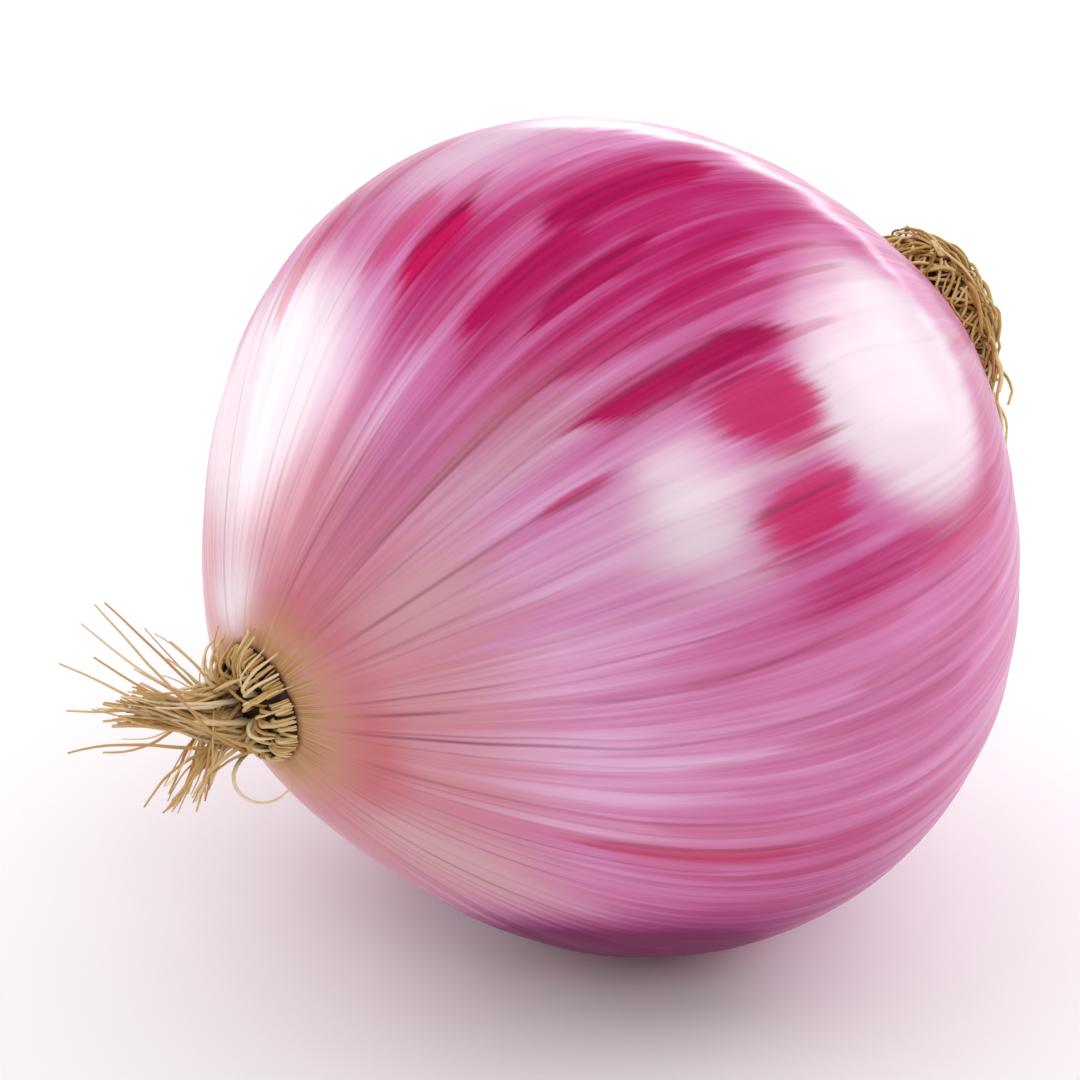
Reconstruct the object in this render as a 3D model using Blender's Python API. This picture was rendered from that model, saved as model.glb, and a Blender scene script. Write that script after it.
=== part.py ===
# Red onion lying on its side, as picked and dried: the bulb, the roots on their plate, and the dry neck.
#
# The bulb's axis lies in the XZ plane: its root end points to -X and dips a little, its neck end to +X.
# Places on it are given by a polar angle, 0 at the root pole and pi at the neck pole, and a longitude,
# 0 on the bulb's upper side and positive towards +Y. The origin is on the flat spot that the bulb rests on.

import math

import bmesh
import bpy
import numpy as np
from mathutils import Matrix, Vector

# Driving dimensions of the bulb, in metres and radians
BULB_RADIUS = 0.037
AXIS_DIP = math.radians(5.5)
HALF_HEIGHT = 0.887 * BULB_RADIUS  # of the plain flattened globe, pole to middle
ROOT_RISE, ROOT_SPREAD = 0.164 * BULB_RADIUS, 0.482  # the taper to the root plate
NECK_RISE, NECK_SPREAD = 0.170 * BULB_RADIUS, 0.424  # the taper to the neck
FLAT_DEPTH = 0.0005  # how much the flat spot takes off the belly

# A grown bulb is never quite round: its axis leans and bows, and its belly swells to one side
LEAN = Vector((0.011, 0.010))  # along Y and Z, for each unit along the axis
BOW = Vector((-0.017, 0.026)) / BULB_RADIUS
OVAL_COS, OVAL_SIN = 0.004, 0.013
SWELL_COS, SWELL_SIN = 0.008, 0.020

# Low ribs over the veins, highest where the veins close up near both ends
RIBS = 32
RIB_HEIGHT = 0.00022
RIB_PEAK = 0.6  # polar angle, from either pole, where they are highest
COLUMNS, ROWS = 96, 31

# The neck end curves over to one side, which the dried tuft follows
NECK_BEND = 0.080 * BULB_RADIUS
BEND_START, BEND_END = -0.45 * BULB_RADIUS, -1.05 * BULB_RADIUS

# Seats of the root plate and of the neck in the bulb's two ends
SEAT_GAP = 0.0003
ROOT_SEAT_RADIUS = 0.135 * BULB_RADIUS
NECK_SEAT_RADIUS = 0.150 * BULB_RADIUS
SEAT_DEPTH = 0.0016
SEAT_TAPER = 0.90  # floor radius over mouth radius
PLATE_SHARE = 0.80  # the part of a seat's radius that strands grow from

# Both tufts are swept to the same side of the bulb
SWEEP_LONGITUDE = math.radians(38)

# Roots: true thickness, fewer than on the real plate
PLATE_SIDES = 24
PLATE_DOME = 0.0017
STRAND_SIDES = 3
ROOT_THICKNESS, WISP_THICKNESS = 0.00070, 0.00056
TIP_SHARE = 0.62  # tip thickness over base thickness
ROOT_SUNK = 0.0006  # how deep a root starts in the plate
ROOT_CLEARANCE = 0.00085  # from a strand's middle to the skin
SLOPE_STEP = 0.0002
FAN_ROOTS, LOOP_ROOTS, SHEAF_ROOTS, UNDER_ROOTS = 27, 3, 13, 7
FAN_REACH, FAN_PULL = 0.145 * BULB_RADIUS, 0.035 * BULB_RADIUS  # the fan leans along the sweep
FAN_RISE = 0.07 * BULB_RADIUS, 0.11 * BULB_RADIUS
ROOT_SEED = 11

# The roots that reach out leave one side of the plate, so its middle shows between the fan's roots
REACHING_TURN = math.radians(-95)
REACHING_SPREAD = math.radians(75)

# Where the sheaf and the roots under it end: distance out from the plate, along the sweep and across it,
# then how far the tips spread round that place, all over the bulb's radius
SHEAF_TIPS = (0.315, 0.120, 0.020), (0.060, 0.035, 0.055)
UNDER_TIPS = (0.270, -0.115, -0.030), (0.070, 0.030, 0.070)

# The furthest root tips, in the same directions
WISP_TIPS = (
    (0.276, 0.358, 0.02),
    (0.203, 0.355, -0.08),
    (0.364, 0.329, 0.10),
    (0.260, 0.256, -0.14),
    (0.423, 0.273, 0.03),
    (0.420, 0.174, -0.05),
    (0.523, 0.087, 0.08),
    (0.353, 0.055, -0.12),
    (0.396, -0.092, 0.04),
    (0.420, -0.123, 0.16),
    (0.240, -0.156, -0.06),
    (0.155, 0.180, -0.02),
    (0.060, 0.215, -0.16),
    (0.310, 0.120, 0.24),
)

# The thin root that hangs in a hook under the plate: the four points that shape it, in the same directions
HOOK = ((0.04, -0.08, -0.02), (0.24, -0.11, -0.02), (0.11, -0.26, -0.02), (0.01, -0.20, -0.02))

# Neck: a short stub of dried layers under a mat of frayed fibres
STUB_HEIGHT = 0.105 * BULB_RADIUS
STUB_FLARE = 1.24
STUB_FOLDS, STUB_FOLD_DEPTH = 9, 0.07
NECK_SHIFT = 0.070 * BULB_RADIUS  # the dried tuft flops this far along the sweep
MAT_RADIUS, MAT_HEIGHT = 0.225 * BULB_RADIUS, 0.118 * BULB_RADIUS
MAT_BASE = 0.012 * BULB_RADIUS
FIBRES, TAIL_FIBRES = 50, 8
FIBRE_STEPS = 5
TAIL_TURN = math.radians(141)  # the way the loosest fibres trail down the bulb
TAIL_REACH = 0.26 * BULB_RADIUS, 0.38 * BULB_RADIUS
FIBRE_THICKNESS = 0.00062
STUB_SIDES = 36
FIBRE_SEED = 23

GOLDEN_ANGLE = math.pi * (3 - math.sqrt(5))
SHARP_ANGLE = math.radians(40)


def clear_scene():
    for obj in list(bpy.data.objects):
        bpy.data.objects.remove(obj, do_unlink=True)


def material(name, colour, roughness):
    made = bpy.data.materials.new(name)
    made.use_nodes = True
    shader = made.node_tree.nodes["Principled BSDF"]
    shader.inputs["Base Color"].default_value = (*colour, 1.0)
    shader.inputs["Roughness"].default_value = roughness
    shader.inputs["Metallic"].default_value = 0.0
    return made


def link_object(name, bm, finish):
    mesh = bpy.data.meshes.new(name)
    bmesh.ops.recalc_face_normals(bm, faces=bm.faces)
    bm.to_mesh(mesh)
    bm.free()
    mesh.materials.append(finish)
    mesh.shade_smooth()
    mesh.set_sharp_from_angle(angle=SHARP_ANGLE)
    obj = bpy.data.objects.new(name, mesh)
    bpy.context.scene.collection.objects.link(obj)
    return obj


# The bulb's own coordinates: x towards the neck, y across, z up


def along_axis(polar):
    """Distance from the bulb's middle towards the root, at a polar angle."""
    root_taper = ROOT_RISE * math.exp(-((polar / ROOT_SPREAD) ** 2))
    neck_taper = NECK_RISE * math.exp(-(((math.pi - polar) / NECK_SPREAD) ** 2))
    return HALF_HEIGHT * math.cos(polar) + root_taper - neck_taper


def axis_offset(along):
    """How far the bulb's middle line lies off the straight axis, along Y and Z."""
    bend = max(0.0, (BEND_START - along) / (BEND_START - BEND_END)) ** 2
    sweep = Vector((math.sin(SWEEP_LONGITUDE), math.cos(SWEEP_LONGITUDE)))
    return LEAN * along + BOW * along**2 + sweep * (NECK_BEND * bend)


def fullness(longitude, polar_cosine):
    """The bulb's half thickness on one longitude, swollen more towards one end."""
    oval = OVAL_COS * math.cos(2 * longitude) + OVAL_SIN * math.sin(2 * longitude)
    swell = SWELL_COS * math.cos(longitude) + SWELL_SIN * math.sin(longitude)
    return BULB_RADIUS * (1 + oval + swell * polar_cosine)


def girth(polar, longitude):
    """Distance of the skin from the leaning axis, before the ribs."""
    return math.sin(polar) * fullness(longitude, math.cos(polar))


def skin_point(polar, longitude):
    peak = min(polar, math.pi - polar) / RIB_PEAK
    rib = RIB_HEIGHT * math.cos(RIBS * longitude) * math.exp(-((peak - 1) ** 2))
    radius = girth(polar, longitude) + rib * math.sin(polar)
    along = along_axis(polar)
    y, z = axis_offset(along)
    return Vector((-along, y + radius * math.sin(longitude), z + radius * math.cos(longitude)))


class Seat:
    """One end of the bulb: the mouth of its seat, and directions out of it, along the sweep and across."""

    def __init__(self, radius, towards_root):
        polar = math.asin(radius / BULB_RADIUS)
        self.polar = polar if towards_root else math.pi - polar
        self.radius = radius
        self.along = along_axis(self.polar)
        y, z = axis_offset(self.along)
        self.mouth = Vector((-self.along, y, z))
        self.out = Vector((-1.0 if towards_root else 1.0, 0, 0))
        self.sweep = Vector((0, math.sin(SWEEP_LONGITUDE), math.cos(SWEEP_LONGITUDE)))
        self.across = Vector((0, -math.cos(SWEEP_LONGITUDE), math.sin(SWEEP_LONGITUDE)))

    def place(self, out, sweep, across):
        return self.mouth + self.out * out + self.sweep * sweep + self.across * across

    def raised(self, point, clearance):
        """The point, raised along the bulb's axis until it stands this far off the skin round the seat."""
        end = -self.out.x
        along = -point.x
        y, z = axis_offset(along)
        side, up = point.y - y, point.z - z
        reach = math.hypot(side, up)
        if reach < self.radius * PLATE_SHARE:
            return point
        widest = fullness(math.atan2(side, up), end)

        def skin_at(distance):
            angle = math.asin(distance / widest)
            return along_axis(angle if end > 0 else math.pi - angle)

        slope = (skin_at(reach + SLOPE_STEP) - skin_at(reach - SLOPE_STEP)) / (2 * SLOPE_STEP)
        wanted = skin_at(reach) + end * clearance * math.hypot(1, slope)
        return Vector((-wanted, point.y, point.z)) if end * along < end * wanted else point


ROOT_SEAT = Seat(ROOT_SEAT_RADIUS, True)
NECK_SEAT = Seat(NECK_SEAT_RADIUS, False)


def lathe(bm, rings, closed_ends):
    """Skins rings of points into a surface, and closes both ends with a centre point."""
    rows = [[bm.verts.new(point) for point in ring] for ring in rings]
    for first, second in zip(rows, rows[1:]):
        count = len(first)
        for i in range(count):
            bm.faces.new((first[i], first[(i + 1) % count], second[(i + 1) % count], second[i]))
    for row, centre in zip((rows[0], rows[-1]), closed_ends):
        hub = bm.verts.new(centre)
        for i in range(len(row)):
            bm.faces.new((row[i], row[(i + 1) % len(row)], hub))


def seat_ring(seat, out, radius, count, fold=0.0):
    """A ring in a seat's own directions, at a height out of its mouth, with optional folds round it."""
    ring = []
    for i in range(count):
        turn = 2 * math.pi * i / count
        reach = radius * (1 + fold * math.cos(STUB_FOLDS * turn))
        ring.append(seat.place(out, reach * math.cos(turn), reach * math.sin(turn)))
    return ring


def skin_ring(polar):
    return [skin_point(polar, 2 * math.pi * i / COLUMNS) for i in range(COLUMNS)]


def seat_floor_ring(seat):
    """The floor of a seat: its mouth's ring, drawn in and sunk into the bulb."""
    centre = seat.mouth - seat.out * SEAT_DEPTH
    return [centre + (point - seat.mouth) * SEAT_TAPER for point in skin_ring(seat.polar)]


def lying_pose():
    """Turns the bulb's own coordinates to the lying pose, with the flat spot's plane at height 0."""
    turn = Matrix.Rotation(-AXIS_DIP, 4, "Y")
    belly = [
        (turn @ skin_point(polar, longitude)).z
        for polar in np.linspace(1.2, 1.95, 60)
        for longitude in np.linspace(math.pi - 0.3, math.pi + 0.3, 41)
    ]
    return Matrix.Translation((0, 0, -min(belly) - FLAT_DEPTH)) @ turn


POSE = lying_pose()


def make_bulb():
    bm = bmesh.new()
    angles = np.linspace(ROOT_SEAT.polar, NECK_SEAT.polar, ROWS)
    rings = [seat_floor_ring(ROOT_SEAT)]
    rings += [skin_ring(float(polar)) for polar in angles]
    rings += [seat_floor_ring(NECK_SEAT)]
    centres = [seat.mouth - seat.out * SEAT_DEPTH for seat in (ROOT_SEAT, NECK_SEAT)]
    lathe(bm, rings, centres)
    bm.transform(POSE)
    everything = bm.verts[:] + bm.edges[:] + bm.faces[:]
    cut = bmesh.ops.bisect_plane(
        bm, geom=everything, dist=1e-6, plane_co=(0, 0, 0), plane_no=(0, 0, -1), clear_outer=True
    )
    rim = [item for item in cut["geom_cut"] if isinstance(item, bmesh.types.BMEdge)]
    bmesh.ops.contextual_create(bm, geom=rim)
    return link_object("bulb", bm, material("onion_skin", (0.58, 0.14, 0.32), 0.22))


def bezier(points, share):
    a, b, c, d = points
    rest = 1 - share
    return a * rest**3 + b * (3 * rest**2 * share) + c * (3 * rest * share**2) + d * share**3


def strand_object(name, path, thickness, finish):
    """A tapering three-sided strand along a path, closed at both ends."""
    bm = bmesh.new()
    side = (path[1] - path[0]).orthogonal().normalized()
    rings = []
    for i, point in enumerate(path):
        ahead = path[min(i + 1, len(path) - 1)] - path[max(i - 1, 0)]
        ahead.normalize()
        side = (side - ahead * side.dot(ahead)).normalized()
        other = ahead.cross(side)
        share = i / (len(path) - 1)
        radius = thickness / 2 * (1 + (TIP_SHARE - 1) * share)
        turns = [2 * math.pi * k / STRAND_SIDES for k in range(STRAND_SIDES)]
        rings.append([
            bm.verts.new(point + (side * math.cos(t) + other * math.sin(t)) * radius)
            for t in turns
        ])
    for first, second in zip(rings, rings[1:]):
        for i in range(STRAND_SIDES):
            j = (i + 1) % STRAND_SIDES
            bm.faces.new((first[i], first[j], second[j], second[i]))
    bm.faces.new(rings[0][::-1])
    bm.faces.new(rings[-1])
    bm.transform(POSE)
    return link_object(name, bm, finish)


def laid(seat, controls, steps):
    """Points along a curve, kept clear of the skin round the seat."""
    return [seat.raised(bezier(controls, i / steps), ROOT_CLEARANCE) for i in range(steps + 1)]


def spread_turn(index):
    return index * GOLDEN_ANGLE


def plate_base(share, turn):
    """A place on the root plate, as distances along the sweep and across it."""
    reach = ROOT_SEAT_RADIUS * PLATE_SHARE * math.sqrt(share)
    return reach * math.cos(turn), reach * math.sin(turn)


def fan_root(rng, index):
    """A root that comes up near the middle of the plate and curls outwards over its edge."""
    sweep, across = plate_base(rng.uniform(0.04, 0.32), spread_turn(index) + rng.uniform(-0.2, 0.2))
    end = math.atan2(across, sweep) + rng.uniform(-0.25, 0.25)
    reach = FAN_REACH + FAN_PULL * math.cos(end) + BULB_RADIUS * rng.uniform(-0.015, 0.015)
    rise = rng.uniform(*FAN_RISE)
    over = math.cos(end) * reach, math.sin(end) * reach
    return [
        ROOT_SEAT.place(-ROOT_SUNK, sweep, across),
        ROOT_SEAT.place(rise, sweep * 1.4, across * 1.4),
        ROOT_SEAT.place(rise * 1.05, over[0] * 0.75, over[1] * 0.75),
        ROOT_SEAT.place(BULB_RADIUS * rng.uniform(-0.02, 0.03), *over),
    ]


def loop_root(rng, index):
    """A root that curls over the plate and back down to its other side."""
    turn = -1.9 + 0.55 * index + rng.uniform(-0.2, 0.2)
    start = plate_base(rng.uniform(0.5, 0.9), turn)
    end = plate_base(rng.uniform(0.5, 0.95), turn + rng.uniform(1.3, 2.3))
    rise = BULB_RADIUS * rng.uniform(0.085, 0.125)
    return [
        ROOT_SEAT.place(-ROOT_SUNK, *start),
        ROOT_SEAT.place(rise, start[0] * 1.3, start[1] * 1.3),
        ROOT_SEAT.place(rise, end[0] * 1.3, end[1] * 1.3),
        ROOT_SEAT.place(-ROOT_SUNK, *end),
    ]


def reaching_root(rng, tip, wander):
    """A root that runs out from the plate and bends over towards its tip."""
    turn = REACHING_TURN + REACHING_SPREAD * rng.uniform(-1, 1)
    sweep, across = plate_base(rng.uniform(0.05, 0.9), turn)
    out, over, aside = (value * BULB_RADIUS for value in tip)
    bend = wander * BULB_RADIUS * rng.uniform(-1, 1, 2)
    return [
        ROOT_SEAT.place(-ROOT_SUNK, sweep, across),
        ROOT_SEAT.place(out * 0.38, sweep * 1.1 + bend[0] * 0.5, across * 1.1 + bend[1] * 0.5),
        ROOT_SEAT.place(out * 0.66, over * 0.45 + bend[0], aside * 0.5 + bend[1]),
        ROOT_SEAT.place(out, over, aside),
    ]


def spread_tip(rng, tips):
    middle, spread = tips
    return [m + s * rng.uniform(-1, 1) for m, s in zip(middle, spread)]


def root_curves():
    """Every root's curve, with its number of steps and its thickness."""
    rng = np.random.default_rng(ROOT_SEED)
    curves = [(fan_root(rng, i), 6, ROOT_THICKNESS) for i in range(FAN_ROOTS)]
    curves += [(loop_root(rng, i), 6, ROOT_THICKNESS) for i in range(LOOP_ROOTS)]
    for count, tips in ((SHEAF_ROOTS, SHEAF_TIPS), (UNDER_ROOTS, UNDER_TIPS)):
        curves += [
            (reaching_root(rng, spread_tip(rng, tips), 0.02), 5, ROOT_THICKNESS)
            for _ in range(count)
        ]
    curves += [(reaching_root(rng, tip, 0.05), 6, WISP_THICKNESS) for tip in WISP_TIPS]
    hook = [ROOT_SEAT.place(*(value * BULB_RADIUS for value in point)) for point in HOOK]
    return curves + [(hook, 8, WISP_THICKNESS)]


def fill_pockets(mesh):
    """Keeps the outer surface only, so pockets closed in between crossing strands become solid."""
    bm = bmesh.new()
    bm.from_mesh(mesh)
    unseen = set(bm.faces)
    shells = []
    while unseen:
        shell = [unseen.pop()]
        for face in shell:
            for edge in face.edges:
                # Two surfaces that only touch along an edge have four faces there
                for other in edge.link_faces if len(edge.link_faces) == 2 else ():
                    if other in unseen:
                        unseen.remove(other)
                        shell.append(other)
        shells.append(shell)
    outer = max(shells, key=len)
    inner = [face for shell in shells if shell is not outer for face in shell]
    bmesh.ops.delete(bm, geom=inner, context="FACES")
    bmesh.ops.triangulate(bm, faces=bm.faces)
    bm.to_mesh(mesh)
    bm.free()


def join_strands(body, strands):
    """Fuses loose strands and the body they grow from into one solid."""
    group = bpy.data.collections.new(body.name + "_strands")
    bpy.context.scene.collection.children.link(group)
    for strand in strands:
        bpy.context.scene.collection.objects.unlink(strand)
        group.objects.link(strand)
    fuse = body.modifiers.new("fuse", "BOOLEAN")
    fuse.operation = "UNION"
    fuse.operand_type = "COLLECTION"
    fuse.collection = group
    fuse.solver = "MANIFOLD"
    bpy.context.view_layer.update()
    graph = bpy.context.evaluated_depsgraph_get()
    fused = bpy.data.meshes.new_from_object(body.evaluated_get(graph))
    fill_pockets(fused)
    body.modifiers.clear()
    body.data = fused
    body.data.name = body.name
    for strand in strands:
        bpy.data.objects.remove(strand, do_unlink=True)
    bpy.data.collections.remove(group)


def make_roots():
    finish = material("dry_root", (0.62, 0.46, 0.22), 0.75)
    seat, radius = ROOT_SEAT, ROOT_SEAT_RADIUS - SEAT_GAP
    floor = SEAT_GAP - SEAT_DEPTH
    dome = [(0.0, 1.0), (0.45, 0.93), (0.80, 0.66), (0.97, 0.30)]
    rings = [seat_ring(seat, floor, radius * SEAT_TAPER - SEAT_GAP / 2, PLATE_SIDES)]
    rings += [seat_ring(seat, PLATE_DOME * height, radius * width, PLATE_SIDES) for height, width in dome]
    bm = bmesh.new()
    lathe(bm, rings, [seat.place(floor, 0, 0), seat.place(PLATE_DOME, 0, 0)])
    bm.transform(POSE)
    plate = link_object("roots", bm, finish)
    strands = [
        strand_object(f"root_{i}", laid(seat, controls, steps), thickness, finish)
        for i, (controls, steps, thickness) in enumerate(root_curves())
    ]
    join_strands(plate, strands)


def mat_point(tilt, turn, lift=0.0):
    """A place on the neck's mat, at a tilt from its top and a turn round it."""
    reach = (MAT_RADIUS + lift) * math.sin(tilt)
    out = MAT_BASE + (MAT_HEIGHT + lift) * math.cos(tilt)
    return NECK_SEAT.place(out, reach * math.cos(turn) + NECK_SHIFT, reach * math.sin(turn))


def neck_fibre(rng, index):
    """A frayed fibre that leaves the stub and lies down sideways in the mat."""
    turn = spread_turn(index)
    tilt = math.radians(8 + 68 * (index / FIBRES) ** 0.75)
    swing = rng.choice((-1, 1)) * rng.uniform(0.5, 1.25)
    lift = BULB_RADIUS * rng.uniform(-0.020, 0.016)
    inside = NECK_SEAT_RADIUS * 0.5 * math.sin(tilt)
    sweep, across = NECK_SHIFT * 0.5 + inside * math.cos(turn), inside * math.sin(turn)
    return [
        NECK_SEAT.place(STUB_HEIGHT * 0.5, sweep, across),
        mat_point(tilt, turn, lift + BULB_RADIUS * 0.05),
        mat_point(tilt + rng.uniform(-0.1, 0.35), turn + swing * 0.6, lift + BULB_RADIUS * 0.03),
        mat_point(tilt + rng.uniform(-0.05, 0.40), turn + swing, lift),
    ]


def tail_fibre(rng):
    """A loose fibre that trails from the mat down over the bulb."""
    turn = TAIL_TURN + rng.uniform(-0.5, 0.5)
    reach = rng.uniform(*TAIL_REACH)
    swing = rng.uniform(-0.25, 0.25)

    def beside(out, share, twist):
        distance = reach * share
        return NECK_SEAT.place(out, distance * math.cos(turn + twist), distance * math.sin(turn + twist))

    return [
        beside(STUB_HEIGHT * 0.5, 0.15, 0.0),
        beside(BULB_RADIUS * 0.10, 0.45, swing),
        beside(0.0, 0.85, swing),
        beside(-BULB_RADIUS * 0.08, 1.0, 0.0),
    ]


def shifted_ring(ring, distance):
    return [point + NECK_SEAT.sweep * distance for point in ring]


def make_neck():
    finish = material("dry_neck", (0.60, 0.42, 0.18), 0.75)
    seat, radius = NECK_SEAT, NECK_SEAT_RADIUS - SEAT_GAP
    floor = SEAT_GAP - SEAT_DEPTH
    rings = [seat_ring(seat, floor, radius * SEAT_TAPER - SEAT_GAP / 2, STUB_SIDES)]
    for height, width in ((0.0, 0.98), (0.35, 0.92), (0.75, 1.04), (1.0, STUB_FLARE)):
        fold = STUB_FOLD_DEPTH * min(1.0, height * 2)
        ring = seat_ring(seat, STUB_HEIGHT * height, radius * width, STUB_SIDES, fold)
        rings.append(shifted_ring(ring, NECK_SHIFT * height**2))
    crown = seat_ring(seat, STUB_HEIGHT * 0.92, radius * 0.55, STUB_SIDES)
    rings.append(shifted_ring(crown, NECK_SHIFT))
    bm = bmesh.new()
    lathe(bm, rings, [seat.place(floor, 0, 0), seat.place(STUB_HEIGHT * 0.85, NECK_SHIFT, 0)])
    bm.transform(POSE)
    stub = link_object("neck", bm, finish)
    rng = np.random.default_rng(FIBRE_SEED)
    curves = [neck_fibre(rng, i) for i in range(FIBRES)]
    curves += [tail_fibre(rng) for _ in range(TAIL_FIBRES)]
    strands = [
        strand_object(f"fibre_{i}", laid(seat, controls, FIBRE_STEPS), FIBRE_THICKNESS, finish)
        for i, controls in enumerate(curves)
    ]
    join_strands(stub, strands)


clear_scene()
make_bulb()
make_roots()
make_neck()
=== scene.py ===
# Red onion on its side: glossy streaked skin, a straw collar, a mop of dried roots and a frayed neck
import math

import bpy
import numpy as np
from mathutils import Matrix, Vector


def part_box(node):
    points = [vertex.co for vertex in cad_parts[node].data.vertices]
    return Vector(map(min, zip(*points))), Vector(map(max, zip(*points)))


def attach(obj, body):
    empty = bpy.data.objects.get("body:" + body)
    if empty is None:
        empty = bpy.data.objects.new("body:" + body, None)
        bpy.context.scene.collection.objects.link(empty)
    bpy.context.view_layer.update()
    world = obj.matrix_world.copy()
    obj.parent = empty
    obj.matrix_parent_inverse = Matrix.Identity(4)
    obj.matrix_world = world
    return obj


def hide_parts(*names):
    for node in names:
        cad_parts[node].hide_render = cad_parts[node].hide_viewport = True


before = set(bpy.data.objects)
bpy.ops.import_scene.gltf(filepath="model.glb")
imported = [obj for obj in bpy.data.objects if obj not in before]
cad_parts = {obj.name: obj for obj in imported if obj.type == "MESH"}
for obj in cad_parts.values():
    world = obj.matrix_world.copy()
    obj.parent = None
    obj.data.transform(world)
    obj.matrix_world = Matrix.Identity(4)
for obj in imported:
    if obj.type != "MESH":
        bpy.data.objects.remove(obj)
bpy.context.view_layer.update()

# The bulb's shape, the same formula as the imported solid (metres, radians)
bulb = {
    "radius": 0.037,
    "dip": math.radians(5.5),          # the root end hangs a little
    "halfHeight": 0.887,               # from here on in bulb radii
    "rootRise": 0.164, "rootSpread": 0.482,
    "neckRise": 0.170, "neckSpread": 0.424,
    "lean": (0.011, 0.010), "bow": (-0.017, 0.026),
    "oval": (0.004, 0.013), "swell": (0.008, 0.020),
    "neckBend": 0.080, "bendStart": -0.45, "bendEnd": -1.05,
    "sweep": math.radians(38),         # both tufts are combed to this side
    "rootSeat": 0.135, "neckSeat": 0.150, "seatDepth": 0.0016, "seatTaper": 0.90,
    "seatGap": 0.0002, "plugDepth": 0.0012,
    "plateShare": 0.80,                # the part of a seat's radius that strands grow from
}
R = bulb["radius"]

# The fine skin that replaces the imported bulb
skin = {
    "columns": 640, "rows": 150,
    "ribs": 32, "ribHeight": 0.00010,
    "veinHeight": 0.000010,            # fine raised veins, strongest near both ends
    "dentHeight": 0.00016,             # broad unevenness of a grown bulb
    "rosyDepth": 0.28, "fineDepth": 0.15, "farDepth": 0.5,    # of the pink: all over, in lines, far side
    "seed": 7,
}


def alongAxis(polar):
    rise = bulb["rootRise"] * np.exp(-((polar / bulb["rootSpread"]) ** 2))
    fall = bulb["neckRise"] * np.exp(-(((math.pi - polar) / bulb["neckSpread"]) ** 2))
    return R * (bulb["halfHeight"] * np.cos(polar) + rise - fall)


def axisOffset(along):
    t = np.asarray(along) / R
    bend = np.maximum(0.0, (bulb["bendStart"] - t) / (bulb["bendStart"] - bulb["bendEnd"])) ** 2
    y = bulb["lean"][0] * t + bulb["bow"][0] * t**2 + bulb["neckBend"] * bend * math.sin(bulb["sweep"])
    z = bulb["lean"][1] * t + bulb["bow"][1] * t**2 + bulb["neckBend"] * bend * math.cos(bulb["sweep"])
    return R * y, R * z


def fullness(longitude, cosPolar):
    # the bulb's half thickness at this longitude, if its sine of the polar angle were one
    oval = bulb["oval"][0] * np.cos(2 * longitude) + bulb["oval"][1] * np.sin(2 * longitude)
    swell = bulb["swell"][0] * np.cos(longitude) + bulb["swell"][1] * np.sin(longitude)
    return R * (1 + oval + swell * cosPolar)


def girth(polar, longitude):
    return np.sin(polar) * fullness(longitude, np.cos(polar))


def skinPoints(polar, longitude, lift=0.0):
    along = alongAxis(polar)
    y, z = axisOffset(along)
    reach = girth(polar, longitude) + lift
    return np.stack([-along, y + reach * np.sin(longitude), z + reach * np.cos(longitude)], -1)


def lay(points):
    # from the bulb's own axes to the lying pose
    cosDip, sinDip = math.cos(bulb["dip"]), math.sin(bulb["dip"])
    x, y, z = np.moveaxis(np.asarray(points, float), -1, 0)
    return np.stack([cosDip * x - sinDip * z, y, sinDip * x + cosDip * z + lyingHeight], -1)


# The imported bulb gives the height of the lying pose
lyingHeight = 0.0
grid = np.meshgrid(np.linspace(1.2, 1.95, 90), np.linspace(-0.4, 0.4, 61))
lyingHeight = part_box("bulb")[1].z - lay(skinPoints(*grid))[..., 2].max()
bulbCentre = Vector(lay(np.zeros(3)))
print("bulb centre", [round(v, 5) for v in bulbCentre])


def newMesh(name, points, faces, material, attributes=None):
    mesh = bpy.data.meshes.new(name)
    mesh.from_pydata(points.tolist(), [], faces)
    mesh.validate()
    for key, values in (attributes or {}).items():
        values = np.asarray(values, np.float32)
        kind, slot = ("FLOAT", "value") if values.ndim == 1 else ("FLOAT_VECTOR", "vector")
        mesh.attributes.new(key, kind, "POINT").data.foreach_set(slot, values.ravel())
    mesh.materials.append(material)
    mesh.shade_smooth()
    made = bpy.data.objects.new(name, mesh)
    bpy.context.scene.collection.objects.link(made)
    return made


def ringFaces(count, rows):
    # quads between rings of points, and a cap on either end
    faces = []
    for r in range(rows - 1):
        a, b = r * count, (r + 1) * count
        faces += [(a + c, a + (c + 1) % count, b + (c + 1) % count, b + c) for c in range(count)]
    faces.append(tuple(range(count - 1, -1, -1)))
    last = (rows - 1) * count
    faces.append(tuple(range(last, last + count)))
    return faces


# Node helpers
def feed(tree, value, slot):
    # a socket takes a number, a colour or what another node puts out
    if isinstance(value, (int, float)):
        slot.default_value = value
    elif isinstance(value, tuple):
        slot.default_value = (*value, 1.0)
    else:
        tree.links.new(value, slot)


def fill(tree, made, **values):
    # keys in lower case are a node's own settings, and the others are its inputs
    for key, value in values.items():
        if key.islower():
            setattr(made, key, value)
        else:
            feed(tree, value, made.inputs[key.replace("_", " ")])
    return made


def node(tree, kind, **values):
    return fill(tree, tree.nodes.new(kind), **values)


def inTurn(tree, made, *values):
    for slot, value in zip(made.inputs, values):
        feed(tree, value, slot)
    return made.outputs[0]


def calc(tree, operation, *values, clamp=False):
    return inTurn(tree, node(tree, "ShaderNodeMath", operation=operation, use_clamp=clamp), *values)


def smooth(tree, value, low, high):
    made = node(tree, "ShaderNodeMapRange", interpolation_type="SMOOTHSTEP",
                Value=value, From_Min=low, From_Max=high)
    return made.outputs["Result"]


def blendColour(tree, mask, under, over):
    made = node(tree, "ShaderNodeMix", data_type="RGBA")
    for slot, value in ((0, mask), (6, under), (7, over)):
        feed(tree, value, made.inputs[slot])
    return made.outputs[2]


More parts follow.
